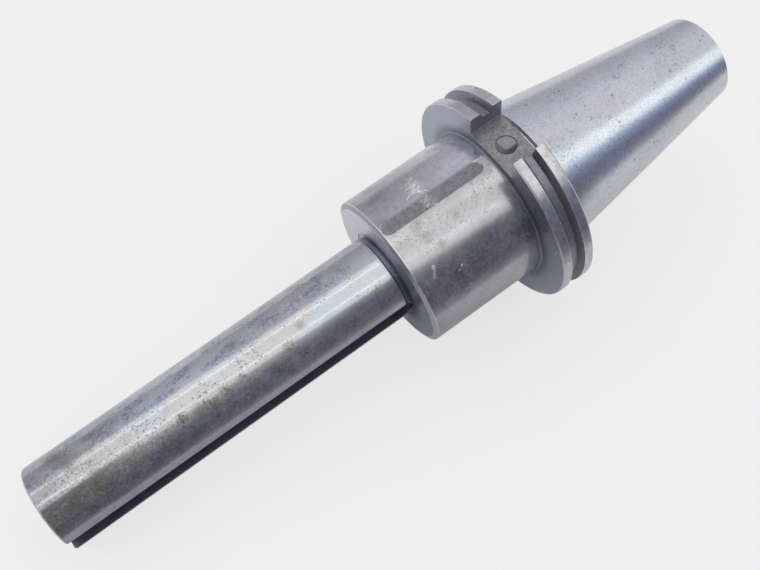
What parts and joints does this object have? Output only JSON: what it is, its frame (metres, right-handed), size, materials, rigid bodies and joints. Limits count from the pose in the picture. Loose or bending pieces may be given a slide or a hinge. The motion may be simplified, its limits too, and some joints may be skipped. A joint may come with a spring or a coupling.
{
  "type": "stub milling arbor",
  "caption": "Steep-taper stub arbor: 7/24 taper shank, V-grooved flange with drive slots, plain collar and a long straight arbor with an empty full-length keyway.",
  "frame": {"origin": "centre of the gauge line, where the 7/24 taper reaches its gauge diameter, on the tool axis", "axes": "+X along the tool axis, from the taper towards the nose; +Z out of the middle of the dimpled drive slot; +Y out of the middle of the keyway"},
  "size_m": [0.3413, 0.0984, 0.095],
  "materials": {
    "ground_taper": "pale ground steel, fine dark pits",
    "flange_steel": "machined steel, darkened in the grooves and slots",
    "collar_steel": "turned and ground steel, scuffed, with a dull marking panel left bare",
    "arbor_steel": "ground steel, speckled with dark pits and stains"
  },
  "bodies": {
    "root": {"taper_shank": "ground_taper", "drive_flange": "flange_steel", "shoulder_collar": "collar_steel", "arbor_shaft": "arbor_steel"}
  },
  "joints": []
}
